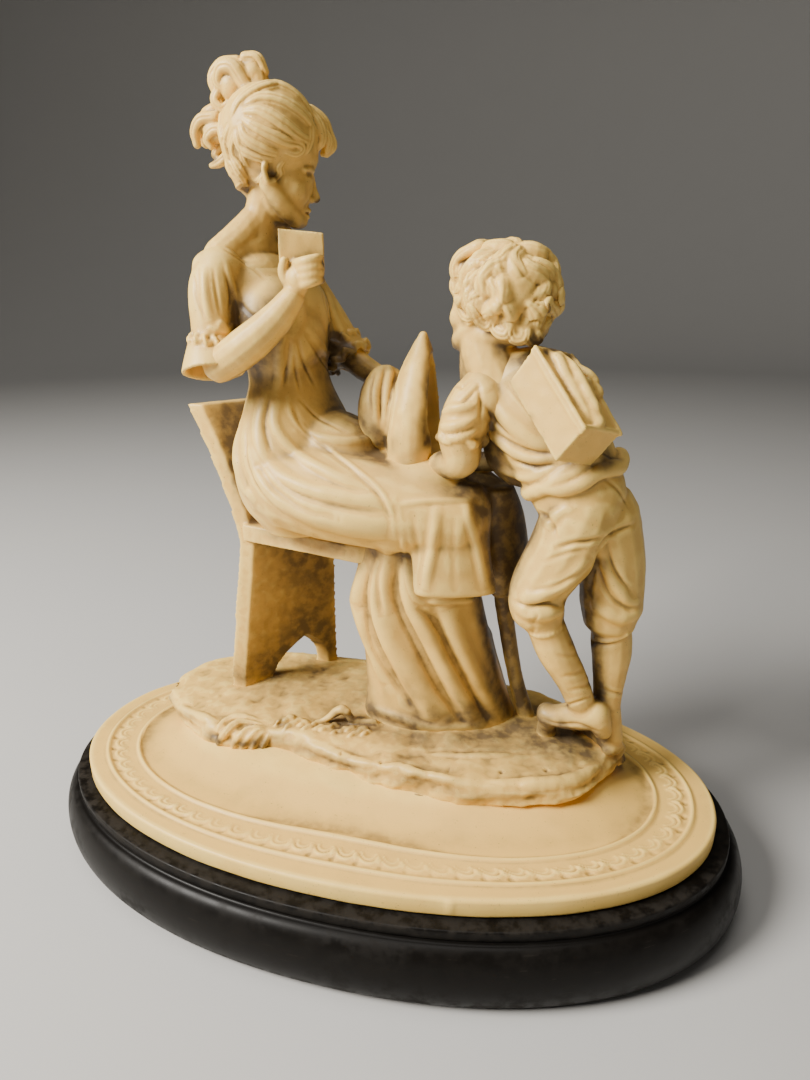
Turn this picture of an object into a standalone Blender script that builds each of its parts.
"""Woman and child reading statuette: one cast group on a turned oval plinth.

Metres, +Z up. The origin is the middle of the plinth's underside, +X runs along
the oval towards the child, and -Y is the side that the two figures show.
"""
import math

import bmesh
import bpy
import numpy as np
from mathutils import Matrix, Vector
from mathutils.bvhtree import BVHTree

# Plinth and oval foot of the casting
FOOT_LENGTH = 0.200
FOOT_WIDTH = 0.110
FOOT_THICKNESS = 0.0053
FOOT_EDGE_ROUND = 0.0009
FOOT_DOME_RISE = 0.0060
OVAL_POWER = 2.1
OUTER_LINE_INSET = 0.0059
INNER_LINE_INSET = 0.0153
LINE_WIDTH = 0.0016
LINE_HEIGHT = 0.0006
DOME_INSET = 0.0300
PLINTH_HEIGHT = 0.0229
PLINTH_LEDGE = 0.0042
PLINTH_BULGE = 0.0090
COLLAR_HEIGHT = 0.0030
COLLAR_ROUND = 0.0006
PLINTH_TUCK = 0.0022
JOINT_GAP = 0.0003

# The group above the foot: its rock's thickness and the figures' height over it
ROCK_THICKNESS = 0.0115
GROUP_HEIGHT = 0.1890

# Fineness of the solids
OVAL_SIDES = 52
GROUP_TRIANGLES = 7500
CLAY_GRAIN = 0.9
ROUGH_GRAIN = 1.6

# The figures are modelled in parts of their own height
PARTS_TALL = 189.0
PART = GROUP_HEIGHT / PARTS_TALL
FOOT_TOP = PLINTH_HEIGHT + JOINT_GAP + FOOT_THICKNESS
ROCK_TOP = FOOT_TOP + ROCK_THICKNESS

RESIN = ("Aged ivory resin", (0.78, 0.66, 0.45, 1.0), 0.45, 0.0)
BLACK = ("Black lacquer", (0.018, 0.016, 0.014, 1.0), 0.35, 0.0)


# Paths, sections and lofts
def smooth_path(rows, steps):
    """A smooth curve through rows of numbers, as many columns as they have."""
    rows = np.array(rows, dtype=float)
    padded = np.vstack([2 * rows[0] - rows[1], rows, 2 * rows[-1] - rows[-2]])
    curve = []
    for start in range(len(rows) - 1):
        before, here, there, after = padded[start:start + 4]
        for step in range(steps):
            t = step / steps
            curve.append(0.5 * (2 * here + (there - before) * t
                                + (2 * before - 5 * here + 4 * there - after) * t ** 2
                                + (3 * here - before - 3 * there + after) * t ** 3))
    curve.append(rows[-1])
    return np.array(curve)


def unit(vector):
    return vector / max(np.linalg.norm(vector), 1e-9)


def loft(clay, rings):
    """Skin a row of closed sections, each a ring of as many points, with flat ends."""
    loops = [[clay.verts.new(point) for point in ring] for ring in rings]
    sides = len(loops[0])
    for lower, upper in zip(loops, loops[1:]):
        for side in range(sides):
            after = (side + 1) % sides
            clay.faces.new((lower[side], lower[after], upper[after], upper[side]))
    clay.faces.new(loops[0][::-1])
    clay.faces.new(loops[-1])


def limb(clay, rows, side=(0, 1, 0), steps=4, sides=14, domed=True):
    """A rounded limb through rows of x, y, height, radius and second radius.

    The first radius lies along side, the second across it.
    """
    rows = [row if len(row) == 5 else tuple(row) + (row[3],) for row in rows]
    curve = smooth_path(rows, steps)
    path = curve[:, :3]
    tangents = np.gradient(path, axis=0)
    rings = []

    def ring(centre, along, wide, deep):
        first = unit(np.array(side, float) - along * np.dot(side, along))
        second = np.cross(along, first)
        turns = np.arange(sides) * 2 * math.pi / sides
        return (centre + wide * np.cos(turns)[:, None] * first
                + deep * np.sin(turns)[:, None] * second)

    dome = [math.radians(angle) for angle in (78, 52, 26)] if domed else []
    along = unit(tangents[0])
    reach = min(curve[0][3:])
    for angle in dome:
        rings.append(ring(path[0] - along * reach * math.sin(angle), along,
                          curve[0][3] * math.cos(angle), curve[0][4] * math.cos(angle)))
    for row, tangent in zip(curve, tangents):
        rings.append(ring(row[:3], unit(tangent), max(row[3], 0.2), max(row[4], 0.2)))
    along = unit(tangents[-1])
    reach = min(curve[-1][3:])
    for angle in dome[::-1]:
        rings.append(ring(path[-1] + along * reach * math.sin(angle), along,
                          curve[-1][3] * math.cos(angle), curve[-1][4] * math.cos(angle)))
    loft(clay, rings)


def column(clay, rows, steps=3, sides=24):
    """An upright form: rows of height, x, y, half length, half width and turn in degrees."""
    rings = []
    for height, x, y, half_length, half_width, turn in smooth_path(rows, steps):
        turns = np.arange(sides) * 2 * math.pi / sides
        angle = math.radians(turn)
        along = half_length * np.cos(turns)
        across = half_width * np.sin(turns)
        rings.append(np.stack([x + along * math.cos(angle) - across * math.sin(angle),
                               y + along * math.sin(angle) + across * math.cos(angle),
                               np.full(sides, height)], axis=1))
    loft(clay, rings)


def ball(clay, centre, radii, facing=0.0, nod=0.0, roll=0.0):
    """An ellipsoid: radii ahead, aside and up, faced round Z and nodded down, in degrees."""
    place = (Matrix.Translation(centre) @ Matrix.Rotation(math.radians(facing), 4, "Z")
             @ Matrix.Rotation(math.radians(nod), 4, "Y")
             @ Matrix.Rotation(math.radians(roll), 4, "X")
             @ Matrix.Diagonal((*radii, 1.0)))
    bmesh.ops.create_icosphere(clay, subdivisions=3, radius=1.0, matrix=place)


def slab(clay, corner, edges):
    """A box from one corner along three edges."""
    first, second, third = (Vector(edge) for edge in edges)
    middle = Vector(corner) + (first + second + third) / 2
    frame = Matrix((first, second, third)).transposed().to_4x4()
    made = bmesh.ops.create_cube(clay, size=1.0, matrix=Matrix.Translation(middle) @ frame)
    if frame.determinant() < 0:
        faces = {face for vert in made["verts"] for face in vert.link_faces}
        bmesh.ops.reverse_faces(clay, faces=list(faces))


def board(clay, outline, low, high):
    """A flat board with an outline in plan, between two heights."""
    loft(clay, [[(x, y, height) for x, y in outline] for height in (low, high)])


# The clay: rough forms, the mesh that fuses them, and the folds laid on it
def mesh_of(clay, name):
    mesh = bpy.data.meshes.new(name)
    bmesh.ops.recalc_face_normals(clay, faces=clay.faces[:])
    clay.to_mesh(mesh)
    return mesh


def evaluated(obj):
    """The object's mesh with its modifiers worked in, as a new mesh."""
    graph = bpy.context.evaluated_depsgraph_get()
    return bpy.data.meshes.new_from_object(obj.evaluated_get(graph), depsgraph=graph)


def fused(clay, grain, smoothing):
    """Fuse overlapping forms into one closed skin, softened a little."""
    obj = bpy.data.objects.new("clay", mesh_of(clay, "clay"))
    bpy.context.scene.collection.objects.link(obj)
    remesh = obj.modifiers.new("Fuse", "REMESH")
    remesh.mode = "VOXEL"
    remesh.voxel_size = grain
    soften = obj.modifiers.new("Soften", "SMOOTH")
    soften.factor = 0.5
    soften.iterations = smoothing
    mesh = evaluated(obj)
    bpy.data.objects.remove(obj)
    return mesh


def outer_shell(mesh):
    """Keep only the largest connected shell, and so drop any shut-in hollow."""
    skin = bmesh.new()
    skin.from_mesh(mesh)
    left = set(skin.verts)
    shells = []
    while left:
        stack = [left.pop()]
        shell = set(stack)
        while stack:
            for edge in stack.pop().link_edges:
                for vert in edge.verts:
                    if vert in left:
                        left.discard(vert)
                        shell.add(vert)
                        stack.append(vert)
        shells.append(shell)
    shells.sort(key=len)
    waste = [vert for shell in shells[:-1] for vert in shell]
    bmesh.ops.delete(skin, geom=waste, context="VERTS")
    skin.to_mesh(mesh)
    skin.free()
    return mesh


class Skin:
    """A surface that folds are laid on: finds its nearest point and outward normal."""

    def __init__(self, mesh):
        points = [vert.co.copy() for vert in mesh.vertices]
        self.tree = BVHTree.FromPolygons(points, [tuple(face.vertices) for face in mesh.polygons])

    def lay(self, rows, sink):
        """Move rows of x, y, height and radius onto the surface, sunk by a share of radius."""
        laid = []
        for row in rows:
            point, normal, face, away = self.tree.find_nearest(Vector(row[:3]))
            place = point - normal * row[3] * sink
            laid.append((*place, row[3]))
        return laid


def fold(clay, skin, points, thick, sink=0.1, steps=3):
    """A ridge of cloth or hair: thin at both ends and thick in the middle."""
    curve = smooth_path(points, steps)
    share = np.linspace(0, 1, len(curve))
    radii = thick * (0.3 + 0.7 * np.sin(math.pi * share))
    rows = [(*point, radius) for point, radius in zip(curve, radii)]
    limb(clay, skin.lay(rows, sink), steps=1, sides=8)


def fan(clay, skin, first, last, count, thick, sink=0.1):
    """A fan of folds that turn step by step from one curve into another."""
    first, last = np.array(first, float), np.array(last, float)
    for number in range(count):
        share = number / max(count - 1, 1)
        fold(clay, skin, first * (1 - share) + last * share, thick, sink)


# Rock under the figures
def rock(clay):
    outline = [(-81, 4), (-62, -10), (-47, -15), (-30, -12), (-5, -19), (25, -23), (55, -17),
               (69, -5), (74, 9), (66, 25), (46, 34), (8, 41), (-34, 43), (-62, 37), (-77, 24)]
    plan = smooth_path(outline + outline[:1], 4)[:-1]
    middle = plan.mean(axis=0)
    turns = np.arctan2(plan[:, 1] - middle[1], plan[:, 0] - middle[0])
    ragged = 1 + 0.020 * np.sin(9 * turns) + 0.016 * np.sin(17 * turns + 1)
    deep = ROCK_THICKNESS / PART
    rings = []
    for height, spread in ((-deep - 1, 0.80), (-9.5, 0.90), (-7, 0.985), (-3.5, 1.0), (-1, 0.975),
                           (0, 0.94)):
        ring = middle + (plan - middle) * spread * ragged[:, None]
        lift = 0.5 * np.sin(5 * turns + height) * (height > -deep)
        rings.append(np.column_stack([ring, height + lift]))
    loft(clay, rings)


def grass(clay):
    """The tuft that hangs over the near edge, and the small growth beside it."""
    for number in range(7):
        x = -51 + 3.0 * number
        limb(clay, [(x + 2, -8, 0.2, 1.2), (x, -13, 0.6, 1.5), (x - 1.5, -17, -3, 1.3),
                    (x - 2, -18.5, -7 + (number % 3), 0.7)], sides=8)
    for x, y, size in ((-27, -4, 1.6), (-22, -6, 1.5), (-17, -4, 1.9), (-13, -6, 1.6), (-9, -4, 1.3)):
        ball(clay, (x, y, 0.6), (size, size, size))
    limb(clay, [(-18, -5, 1, 1.3), (-13, -3, 5, 1.6), (-9, -2, 2.5, 1.1), (-2, 0, 1.4, 0.9)], sides=8)


# Chair
def chair(clay):
    """A curved back board down to the ground, a plank seat and one splayed front leg."""
    near_edge = smooth_path([(-1, -58.0, 11.0), (20, -55.0, 10.6), (45, -51.2, 10.2),
                             (56, -50.4, 10.2), (70, -54.2, 10.8), (84, -60.2, 11.5),
                             (97, -67.6, 12.3)], 8)
    across = np.array([21.5, 24.5])
    thick = 5.4

    def strip(low, high, near, far):
        """A strip of the board between two heights, from a near to a far share of its width."""
        rings = []
        for height, x, y in near_edge:
            if low <= height <= high:
                first = np.array((x, y)) + across * near(height)
                last = np.array((x, y)) + across * far(height)
                rings.append([(*first, height), (first[0] + thick, first[1], height),
                              (last[0] + thick, last[1], height), (*last, height)])
        loft(clay, rings)

    arch = 14
    strip(-2, arch + 2, lambda height: 0, lambda height: 0.30 + 0.36 * (max(height, 0) / arch) ** 2)
    strip(-2, arch + 2, lambda height: 0.90 - 0.24 * (max(height, 0) / arch) ** 3, lambda height: 1)
    strip(arch - 2, 100, lambda height: 0, lambda height: 1)
    seat = [(-48, 9), (-5.5, -1.5), (30, 3), (35, 20), (0, 30), (-26, 35)]
    board(clay, seat, 54.5, 60)
    limb(clay, [(33, 14, 56, 3.0), (35, 14.5, 40, 2.8), (39, 16, 16, 2.5), (43.5, 17.5, -1, 2.8)],
         sides=10)


# Woman
def woman_body(clay):
    column(clay, [(61, -27, 10, 16, 18, -15), (70, -27.5, 10, 18.5, 21, -15),
                  (84, -28, 10, 17.5, 20, -15), (97, -28.5, 10.5, 13.5, 16, -18),
                  (107, -29.5, 11, 10.5, 12.5, -20),
                  (118, -31.5, 10.5, 10.5, 14.5, -20), (127, -33, 11, 10.5, 16.5, -20),
                  (134, -35, 11.2, 9, 15, -20), (139, -36.5, 10.8, 6.5, 10, -20)])
    ball(clay, (-26, 2, 125), (7.5, 6.5, 7), facing=-20)
    ball(clay, (-22, 15.5, 124), (7, 6.5, 7), facing=-20)
    limb(clay, [(-43.5, -3.5, 135.5, 5.0), (-41, 3, 139, 4.8), (-37, 10, 141, 6.0), (-33, 18, 138.5, 4.8),
                (-30, 26, 134, 5.0)])
    limb(clay, [(-37.5, 9.8, 139, 6.6), (-36, 10.4, 146, 5.0), (-34, 11, 152, 4.9), (-32, 11.3, 158, 5.6)])
    limb(clay, [(-36, 10, 148.5, 4.2), (-39.5, 6, 143.5, 4.6), (-43, 1, 139, 5.0), (-46, -2, 134.5, 4.8)])
    # Lap
    limb(clay, [(-28, -1, 76, 14), (-10, -3, 74, 13.5), (8, -3, 71.5, 12), (22, -3, 70, 9.5)])
    limb(clay, [(-26, 20, 77, 14), (0, 19, 75, 13), (20, 15, 73, 11), (30, 13, 71, 8.5)])
    ball(clay, (-4, 8, 77), (28, 14, 10), facing=-4)
    ball(clay, (-14, 8, 87), (15, 13, 10), facing=-10, nod=18)
    # Apron that falls over the knees
    column(clay, [(80, 19, -1, 11, 6, 18), (74, 20.5, -2.5, 12.5, 7.5, 18), (62, 22.5, -5, 11, 6.5, 18),
                  (50, 24.5, -6.5, 11.8, 5.0, 18)])
    column(clay, [(78, 29, 10, 7, 9, 60), (70, 33, 11, 8, 6.5, 60), (56, 36.5, 11, 8.5, 5, 66),
                  (45, 37, 12, 8, 3.8, 66)])


def underskirt(clay):
    column(clay, [(62, 9, 6, 15, 11, 5), (52, 9.5, 7, 18.5, 13, 5), (40, 10, 9, 20.5, 13.5, 6),
                  (22, 13, 12, 21.5, 13.5, 8), (8, 15, 14, 23.5, 14, 12), (-1.5, 15.5, 14.5, 25.5, 15, 14)])


def woman_arms(clay):
    limb(clay, [(-41.5, -3, 135.5, 6.4), (-43, -5, 130, 6.9), (-42.8, -7, 122, 6.2),
                (-41, -9, 115, 6.2)])
    limb(clay, [(-41.5, -8, 119, 5.8), (-42, -9.5, 114, 7.0), (-42.6, -11, 109.5, 7.8)],
         domed=False, sides=18)
    limb(clay, [(-39.5, -11.5, 111.5, 5.6), (-31, -12, 117, 5.2), (-23, -11, 123.5, 4.2),
                (-17.5, -10, 129, 3.2)])
    # Hand and fingers
    ball(clay, (-16.6, -9.5, 132.5), (3.4, 2.8, 4.2), facing=-20)
    for step in range(4):
        low = 131.2 + 1.9 * step
        limb(clay, [(-17.5, -9.5, low, 1.5), (-14, -12, low + 0.3, 1.5), (-11.8, -11, low + 0.6, 1.2)],
             sides=8)
    # Letter
    slab(clay, (-21.8, -8.8, 135.8), ((11.8, 4.0, -0.8), (0.5, -1.6, 0), (-0.2, 0.4, 9.6)))
    # Far arm
    limb(clay, [(-30, 26, 135, 6.3), (-26, 29, 128, 6.8), (-19.5, 29, 120, 7.0), (-13.5, 28, 113, 6.4)])
    limb(clay, [(-13, 27, 112.5, 4.0), (-6, 25, 108, 3.6), (2, 21, 104, 3.2), (8, 16, 101, 2.8)])


def woman_head(clay):
    ball(clay, (-30.0, 11.2, 165.0), (11.6, 9.6, 12.3), facing=24, nod=16)
    ball(clay, (-26.8, 12.6, 157.0), (8.2, 7.2, 9.6), facing=24, nod=12)
    ball(clay, (-23.8, 13.9, 149.6), (3.6, 3.6, 2.8), facing=24)
    limb(clay, [(-20.6, 15.4, 161.5, 1.0), (-19.0, 16.1, 157.4, 1.5), (-20.4, 15.5, 155.6, 1.3)], sides=8)


def woman_hair(clay):
    """Swept-up hair over the skull, its two knots and the curls at the nape."""
    ball(clay, (-30.6, 10.6, 169.0), (13.6, 11.8, 12.6), facing=24, nod=26)
    ball(clay, (-19.2, 15.4, 167.6), (5.6, 8.0, 4.8), facing=24, nod=34)
    limb(clay, [(-34.5, 11.0, 179.5, 4.0), (-35.0, 11.5, 184.5, 3.7), (-39.0, 11.8, 186, 3.5),
                (-43.0, 12.0, 182.5, 3.4), (-43.6, 12.0, 178.0, 2.8), (-41, 12, 174.5, 2.4)])
    ball(clay, (-38.5, 10.5, 180.0), (3.6, 4.0, 3.8))
    limb(clay, [(-41.0, 11.0, 172, 4.0), (-46.0, 11.5, 173.6, 4.2), (-50.0, 12.0, 171.0, 3.6),
                (-52.2, 12.5, 167.4, 2.0)])
    limb(clay, [(-40.0, 11.0, 167, 3.6), (-45.0, 11.5, 166.3, 3.0), (-48.4, 12.0, 163.6, 1.6)])
    limb(clay, [(-38.5, 8.0, 161, 3.2), (-40.0, 8.5, 157.8, 2.4), (-41.2, 9.5, 156.0, 1.4)], sides=8)


def bonnet(clay):
    ball(clay, (3.2, 9.5, 96.5), (7.8, 9.4, 12.4), facing=-8)
    limb(clay, [(2, 8, 96, 11.0, 12), (8, 6.5, 98.0, 12.0, 14.5), (13, 5.5, 99.5, 11.5, 16.0),
                (16, 5.0, 100, 9.5, 14.5)], sides=20, domed=False)
    limb(clay, [(9.5, 6.0, 108, 6.0), (10.0, 6.0, 113, 3.4), (10.2, 6.0, 117, 1.4)])
    ball(clay, (10, 3, 87), (9, 9, 6))


# Child
def child_body(clay):
    ball(clay, (57, -1.0, 77.0), (10.5, 10, 10), facing=10)
    limb(clay, [(56, -1, 79, 12.5, 9.5), (50.5, -1, 90, 13.5, 9.5), (44, -0.5, 100, 14, 9.5),
                (39, 0.5, 107.5, 12.5, 8)], side=(1, 0, 0.35))
    ball(clay, (41, 4, 92), (12, 9, 13))
    limb(clay, [(36, 1, 110, 6.6), (33, 1.5, 116, 5.4), (32, 2, 120, 6)])
    # Shirt hem over the breeches
    limb(clay, [(63.5, -3, 88, 2.8), (57, -8, 85, 3.6), (49, -8.6, 81.5, 4.2), (40.5, -5.5, 78, 3.8)],
         sides=10)


def child_arms(clay):
    limb(clay, [(29.5, -2, 105.5, 6.6), (26.2, -4.5, 101, 6.4), (25, -5.5, 95.5, 5.8)])
    limb(clay, [(25, -6, 96, 4.6), (25, -6, 88, 4.9), (20, -1.5, 84.5, 4.0), (14, 4, 83, 3.2)])
    limb(clay, [(46, 5, 106, 6.2), (45, 10, 98, 5.8), (42, 13, 90, 5.0), (34, 13, 85, 3.6),
                (26, 12, 83, 3.0)])


def child_head(clay):
    ball(clay, (35.0, 0.5, 129.5), (12.0, 11.8, 11.4), facing=150, nod=-8)
    ball(clay, (28.4, 4.6, 123.0), (8.2, 7.4, 9.0), facing=150, nod=-12)
    ball(clay, (23.6, 7.4, 117.4), (3.2, 3.2, 2.8), facing=150)
    limb(clay, [(21.6, 8.5, 127.0, 0.9), (20.4, 9.2, 124.4, 1.3), (21.2, 8.7, 123.0, 1.1)], sides=8)


def child_hair(clay):
    ball(clay, (35.4, 0.2, 130.0), (12.8, 13.0, 11.4), facing=150, nod=-8)
    ball(clay, (38.5, -3.5, 121.5), (8.5, 7.5, 5.5))


def child_legs(clay):
    limb(clay, [(56, -2.5, 74, 9.6), (52.2, -3, 64, 8.8), (47, -3.5, 54, 7.4), (46.4, -3.5, 48, 7.0),
                (48, -3, 44, 6.2)])
    limb(clay, [(48, -3, 45, 5.2), (52, -2.5, 35, 5.2), (57.0, -0.5, 25, 4.6), (60.0, 0.5, 18, 4.2)])
    limb(clay, [(64.5, 0.5, 13.8, 4.4, 4.7), (59, 1.5, 12.2, 4.0, 4.4), (53, 3.5, 10.2, 3.6, 3.6),
                (48.5, 5.5, 9.0, 3.0, 3.0)])
    limb(clay, [(52, 4, 8, 3.0), (51, 7, 4, 3.0), (51, 9, -1, 3.4)])
    limb(clay, [(61.5, 3, 73, 9.6), (65.5, 4.5, 60, 8.8), (66.5, 5.5, 48, 8.4), (66.5, 5.5, 42.5, 8.0)])
    limb(clay, [(66.5, 6, 42, 5.6), (67.5, 6.5, 32, 5.6), (67.5, 6.5, 20, 4.2), (67.5, 6.5, 12, 4.0)])
    limb(clay, [(69, 6.0, 3.5, 4.2, 4.2), (65, 10, 3.2, 3.8, 3.6), (60, 14, 2.4, 3.4, 2.8)],
         side=(1, 0.7, 0))
    limb(clay, [(68, 6.0, 13, 4.0), (69, 5.5, 4, 4.2)])


def satchel(clay):
    slab(clay, (42.6, -12, 117.6), ((15.4, -8.7, -18.2), (-6.0, 2.2, -6.8), (10.2, 10.0, -2.8)))
    slab(clay, (42.9, -13.2, 118.8), ((15.8, -9.0, -18.7), (-1.0, 0.5, -1.4), (10.6, 10.4, -2.9)))
    ball(clay, (50, -6, 103), (9, 8, 9))


# Folds, locks and gathers laid on the rough forms
def overskirt_folds(clay, skin):
    """Folds that sweep from the waist round the hip to the knee, and the apron's edge."""
    fan(clay, skin, [(-41, -2, 98), (-45, -6, 82), (-34, -12, 68), (-12, -16, 63), (6, -14, 66)],
        [(-32, -3, 100), (-29, -13, 90), (-16, -16, 80), (-2, -15, 75), (8, -14, 73)], 4, 2.9)
    fold(clay, skin, [(-30, -2, 107), (-23, -9, 98), (-11, -12, 90), (3, -14, 83), (9, -14, 78)], 2.4)
    fan(clay, skin, [(-47, 6, 98), (-50, 6, 82), (-46, 3, 68)],
        [(-38, 30, 94), (-38, 34, 80), (-32, 34, 68)], 4, 2.8)
    fan(clay, skin, [(-30, 28, 94), (-14, 34, 80), (14, 30, 68)],
        [(-22, 22, 100), (0, 26, 86), (26, 22, 74)], 3, 2.6)
    fan(clay, skin, [(10, -9, 77), (11, -13, 64), (13.5, -14, 51)],
        [(30, -3, 76), (33, -3, 62), (35.5, -2, 49)], 3, 2.4)
    fan(clay, skin, [(38, 4, 72), (42, 6, 58), (43, 7, 46)],
        [(34, 22, 70), (38, 22, 58), (38, 22, 46)], 2, 2.4)


def underskirt_folds(clay, skin):
    """Long folds that fall from the knees and swing out to the hem."""
    near = 6
    for number in range(near):
        share = number / (near - 1)
        hem = -9 + 45 * share
        fold(clay, skin, [(-4 + 26 * share, -6, 59), (hem - 4 + 3 * share, -6, 40), (hem + 1, -5, 18),
                          (hem + 8 - 6 * share, -2 + 8 * share, 1)], 3.6)
    far = 5
    for number in range(far):
        hem = -8 + 11 * number
        fold(clay, skin, [(-2 + 6 * number, 20, 56), (hem, 26, 28), (hem + 1, 30, 1)], 3.2)


def bodice_folds(clay, skin):
    """Pleats over the bust and down the back, and the rolled edge of the neckline."""
    fan(clay, skin, [(-33, -3, 109), (-31, -5, 117), (-33, -5, 126)],
        [(-19, 12, 109), (-16, 14, 117), (-18, 16, 127)], 4, 1.9)
    fan(clay, skin, [(-44, 4, 111), (-46, 5, 121), (-47, 4, 130)],
        [(-36, 26, 111), (-39, 25, 121), (-39, 22, 130)], 3, 2.0)
    fold(clay, skin, [(-46, 1, 137), (-37, -2, 136), (-28, 3, 132.5), (-23, 13, 132), (-27, 21, 135)], 1.9)


def sleeve_folds(clay, skin):
    """Pleats down both sleeves and the ruffle above the near elbow."""
    fan(clay, skin, [(-49, -4, 134), (-50, -7, 125), (-47, -10, 117)],
        [(-36, -10, 134), (-36, -13, 125), (-36, -14, 118)], 3, 2.1)
    fold(clay, skin, [(-48, -8, 119), (-44, -15, 118.5), (-36, -15, 119.5)], 2.2)
    fan(clay, skin, [(-24, 34, 130), (-18, 35, 120), (-11, 33, 112)],
        [(-24, 22, 130), (-18, 21, 120), (-13, 21, 112)], 3, 2.0)


def child_folds(clay, skin):
    """Creases of the shirt over the belly and of the breeches over hip and knee."""
    fan(clay, skin, [(29, -9, 100), (38, -11, 94), (50, -12, 89)],
        [(30, -9, 92), (37, -10, 86), (48, -11, 83)], 2, 2.4)
    fan(clay, skin, [(69, -6, 70), (58, -13, 64), (45, -13, 58)],
        [(60, -8, 58), (52, -12, 53), (42, -10, 50)], 3, 2.1)
    fan(clay, skin, [(73, 4, 70), (73, -1, 60), (66, -3, 52)],
        [(74, 8, 60), (73, 0, 52), (67, -2, 46)], 2, 2.1)


def cuffs(clay, skin):
    """Gathered cuffs: the child's sleeve and the knees of the breeches."""
    gathers = ((47, -3.5, 45.5, 8.2, 0.30), (66.5, 5.5, 43.0, 9.0, -0.05), (24.5, -5.5, 97, 7.2, 0.1))
    for x, y, height, size, lean in gathers:
        turns = np.linspace(0, 2 * math.pi, 13)
        fold(clay, skin, [(x + size * math.cos(turn), y + size * math.sin(turn),
                           height + lean * size * math.cos(turn)) for turn in turns], 2.4)


def locks(clay, skin, centre, radii, crown, count, thick, down):
    """Locks of hair spread over a head, each turned a little against the last."""
    golden = math.pi * (3 - math.sqrt(5))
    crown = unit(np.array(crown, float))
    first = unit(np.cross(crown, (0.3, 0.9, 0.1)))
    second = np.cross(crown, first)
    for number in range(count):
        fall = 0.25 + (down - 0.25) * math.sqrt((number + 0.5) / count)
        turn = golden * number
        points = []
        for step in range(4):
            angle = fall + 0.20 * step
            swing = turn + 0.35 * math.sin(1.9 * step + number)
            way = (crown * math.cos(angle)
                   + math.sin(angle) * (first * math.cos(swing) + second * math.sin(swing)))
            points.append(np.array(centre) + way * np.array(radii))
        fold(clay, skin, points, thick)


def child_curls(clay, skin):
    locks(clay, skin, (35.4, 0.2, 130.0), (13.0, 13.0, 11.6), (0.2, -0.1, 1), 30, 2.7, 1.8)


def swept_locks(clay, skin):
    """Locks swept from the brow, the temples and the nape up to the knot."""
    ahead = np.array((0.91, 0.41, 0))
    aside = np.array((-0.41, 0.91, 0))
    skull = np.array((-31, 11, 166))
    knot = np.array((-39.0, 11.5, 179.0))
    for number in range(11):
        turn = math.radians(-75 + 33 * number)
        reach = ahead * math.cos(turn) * 13 + aside * math.sin(turn) * 11.5
        start = skull + reach + np.array((0, 0, -4 + 3 * math.cos(turn)))
        middle = (start + knot) / 2 + unit(start - skull) * 6 + np.array((0, 0, 4))
        fold(clay, skin, [start, middle, knot], 2.6)


def cast_figures():
    """The rock, chair and figures as one closed skin in metres, still finely faceted."""
    dressed = (((rock, grass, chair), ()),
               ((woman_body,), (overskirt_folds, bodice_folds)),
               ((underskirt,), (underskirt_folds,)),
               ((woman_arms,), (sleeve_folds,)),
               ((woman_head,), ()),
               ((woman_hair,), (swept_locks,)),
               ((bonnet,), ()),
               ((child_body, child_legs), (child_folds,)),
               ((child_arms, child_legs), (cuffs,)),
               ((child_head,), ()),
               ((child_hair,), (child_curls,)),
               ((satchel,), ()))
    clay = bmesh.new()
    for forms, carvings in dressed:
        piece = bmesh.new()
        for form in forms:
            form(piece)
            form(clay)
        if carvings:
            skin = Skin(fused(piece, ROUGH_GRAIN, 2))
            for carving in carvings:
                carving(clay, skin)
        piece.free()
    mesh = outer_shell(fused(clay, CLAY_GRAIN, 1))
    clay.free()
    mesh.transform(Matrix.Translation((0, 0, ROCK_TOP)) @ Matrix.Scale(PART, 4))
    return mesh


# Oval foot and plinth
def oval(inset, height):
    """A superellipse that far inside the foot's outline; a negative inset is outside it."""
    turns = np.arange(OVAL_SIDES) * 2 * math.pi / OVAL_SIDES
    power = 2 / OVAL_POWER
    across = np.sign(np.cos(turns)) * np.abs(np.cos(turns)) ** power
    along = np.sign(np.sin(turns)) * np.abs(np.sin(turns)) ** power
    return np.column_stack([(FOOT_LENGTH / 2 - inset) * across, (FOOT_WIDTH / 2 - inset) * along,
                            np.full(OVAL_SIDES, height)])


def raised_line(inset, top):
    half = LINE_WIDTH / 2
    return [(inset - half, top), (inset, top + LINE_HEIGHT), (inset + half, top)]


def foot_mesh():
    """The oval foot: rounded edge, two raised lines and the low dome under the rock."""
    low = PLINTH_HEIGHT + JOINT_GAP
    section = [(FOOT_EDGE_ROUND, low), (0.0, low + FOOT_EDGE_ROUND), (0.0, FOOT_TOP - FOOT_EDGE_ROUND),
               (FOOT_EDGE_ROUND, FOOT_TOP)]
    section += raised_line(OUTER_LINE_INSET, FOOT_TOP)
    section += raised_line(INNER_LINE_INSET, FOOT_TOP)
    section += [((INNER_LINE_INSET + DOME_INSET) / 2, FOOT_TOP + FOOT_DOME_RISE * 0.4),
                (DOME_INSET, FOOT_TOP + FOOT_DOME_RISE)]
    foot = bmesh.new()
    loft(foot, [oval(inset, height) for inset, height in section])
    mesh = mesh_of(foot, "foot")
    foot.free()
    return mesh


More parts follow.
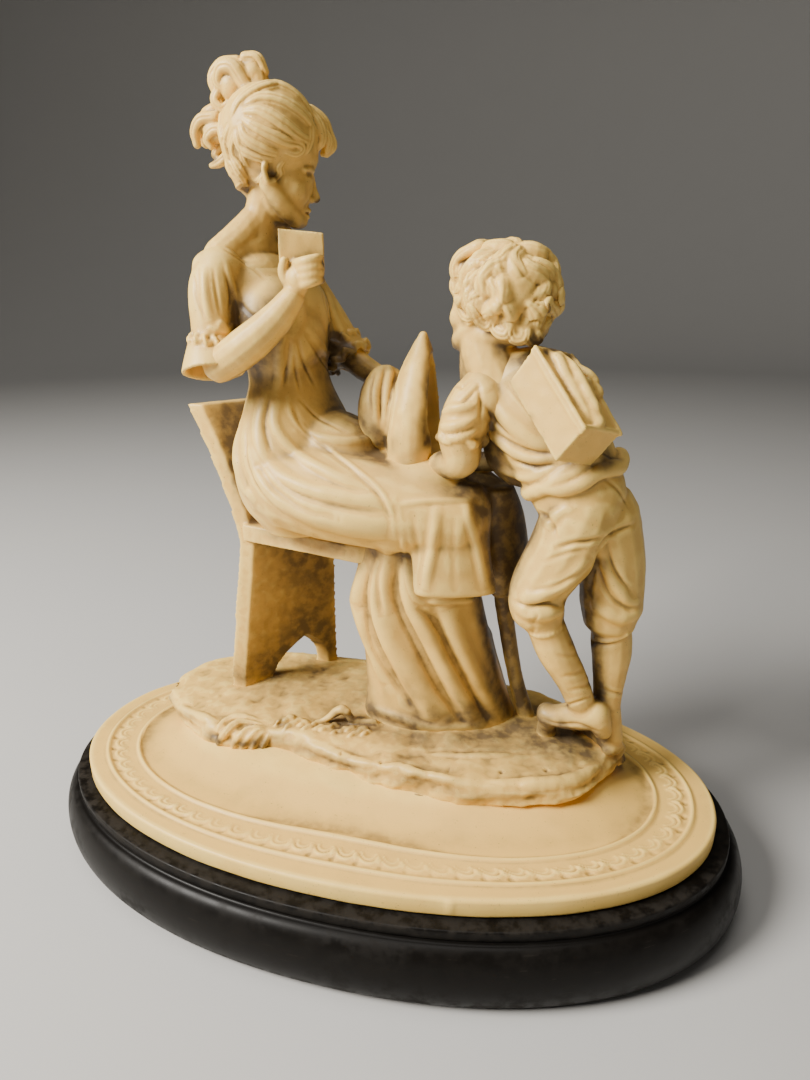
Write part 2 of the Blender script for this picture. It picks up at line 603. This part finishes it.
def plinth_mesh():
    """The turned plinth: a swelling side, a cove and a narrow collar with a worn edge."""
    collar_low = PLINTH_HEIGHT - COLLAR_HEIGHT
    swell = PLINTH_BULGE - PLINTH_LEDGE
    section = [(-PLINTH_BULGE + PLINTH_TUCK, 0.0)]
    for step in range(5):
        angle = math.radians(-50 + 35 * step)
        section.append((-PLINTH_LEDGE - swell * math.cos(angle),
                        collar_low * (0.48 + 0.48 * math.sin(angle))))
    section += [(-PLINTH_LEDGE + COLLAR_ROUND, collar_low), (-PLINTH_LEDGE, collar_low + COLLAR_ROUND),
                (-PLINTH_LEDGE, PLINTH_HEIGHT - COLLAR_ROUND), (-PLINTH_LEDGE + COLLAR_ROUND, PLINTH_HEIGHT)]
    plinth = bmesh.new()
    loft(plinth, [oval(inset, height) for inset, height in section])
    mesh = mesh_of(plinth, "oval_plinth")
    plinth.free()
    return mesh


# Assembly
def thinned(mesh, triangles):
    """Thin a mesh to about so many triangles, keeping its shape."""
    obj = bpy.data.objects.new("thinning", mesh)
    bpy.context.scene.collection.objects.link(obj)
    mesh.calc_loop_triangles()
    thin = obj.modifiers.new("Thin", "DECIMATE")
    thin.ratio = min(1.0, triangles / len(mesh.loop_triangles))
    thin.use_collapse_triangulate = True
    result = evaluated(obj)
    bpy.data.objects.remove(obj)
    return result


def joined(first, second, name):
    """Two meshes made one body by a union."""
    body = bpy.data.objects.new(name, first)
    other = bpy.data.objects.new("joining", second)
    for obj in (body, other):
        bpy.context.scene.collection.objects.link(obj)
    union = body.modifiers.new("Join", "BOOLEAN")
    union.operation = "UNION"
    union.object = other
    result = evaluated(body)
    bpy.data.objects.remove(body)
    bpy.data.objects.remove(other)
    return result


def material(name, colour, roughness, metallic):
    made = bpy.data.materials.new(name)
    made.use_nodes = True
    shader = made.node_tree.nodes["Principled BSDF"]
    shader.inputs["Base Color"].default_value = colour
    shader.inputs["Roughness"].default_value = roughness
    shader.inputs["Metallic"].default_value = metallic
    return made


def place(mesh, name, finish, collection):
    mesh.name = name
    obj = bpy.data.objects.new(name, mesh)
    collection.objects.link(obj)
    mesh.materials.clear()
    mesh.materials.append(material(*finish))
    mesh.shade_smooth()
    mesh.set_sharp_from_angle(angle=math.radians(40))


def main():
    for obj in list(bpy.data.objects):
        bpy.data.objects.remove(obj, do_unlink=True)
    parts = bpy.data.collections.new("Reading statuette")
    bpy.context.scene.collection.children.link(parts)
    figures = thinned(cast_figures(), GROUP_TRIANGLES)
    place(joined(foot_mesh(), figures, "cast_group"), "cast_group", RESIN, parts)
    place(plinth_mesh(), "oval_plinth", BLACK, parts)


main()
